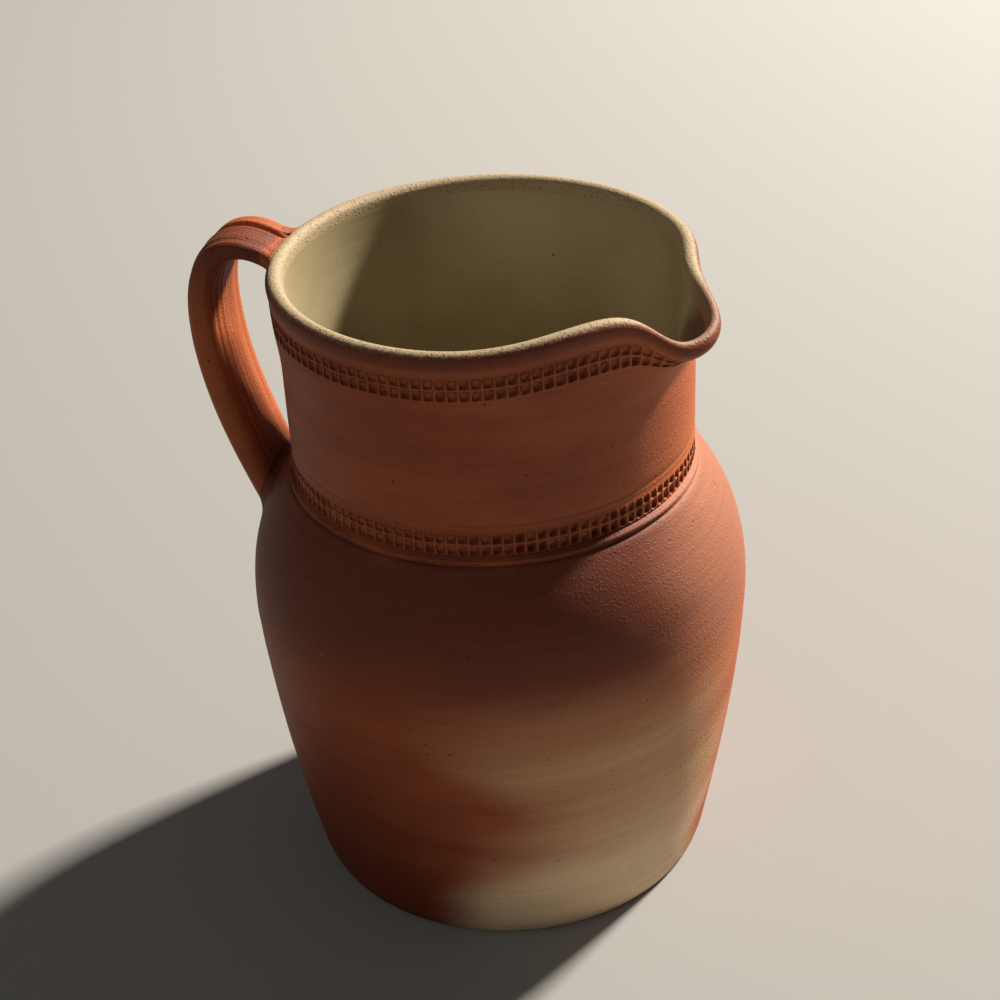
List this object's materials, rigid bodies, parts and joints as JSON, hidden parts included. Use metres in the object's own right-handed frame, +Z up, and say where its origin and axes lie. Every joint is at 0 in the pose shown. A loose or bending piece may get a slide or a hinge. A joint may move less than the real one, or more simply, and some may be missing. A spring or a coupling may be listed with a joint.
{
  "type": "pitcher",
  "caption": "Thrown stoneware pitcher with a full belly, straight neck, two tooth-pressed bands, a pulled pouring lip and a pulled strap handle; glazed inside only.",
  "frame": {"origin": "centre of the flat foot, on the axis the pot was thrown about", "axes": "+Z up along the thrown axis, -X towards the handle, the pouring lip near +X (14.5 degrees towards -Y)"},
  "size_m": [0.1755, 0.1594, 0.2143],
  "materials": {
    "belly_clay": "unglazed flashed stoneware, dry satin",
    "neck_clay": "unglazed flashed stoneware, dry satin",
    "coil_clay": "unglazed flashed stoneware, dry satin",
    "handle_clay": "unglazed flashed stoneware, dry satin",
    "lute_clay": "unglazed flashed stoneware, dry satin",
    "glaze": "semi-gloss khaki liner glaze"
  },
  "bodies": {
    "root": {"thrown_belly": "belly_clay", "thrown_neck": "neck_clay", "join_coil": "coil_clay", "pulled_handle": "handle_clay", "top_lute": "lute_clay", "foot_lute": "lute_clay", "liner_glaze": "glaze"}
  },
  "joints": []
}
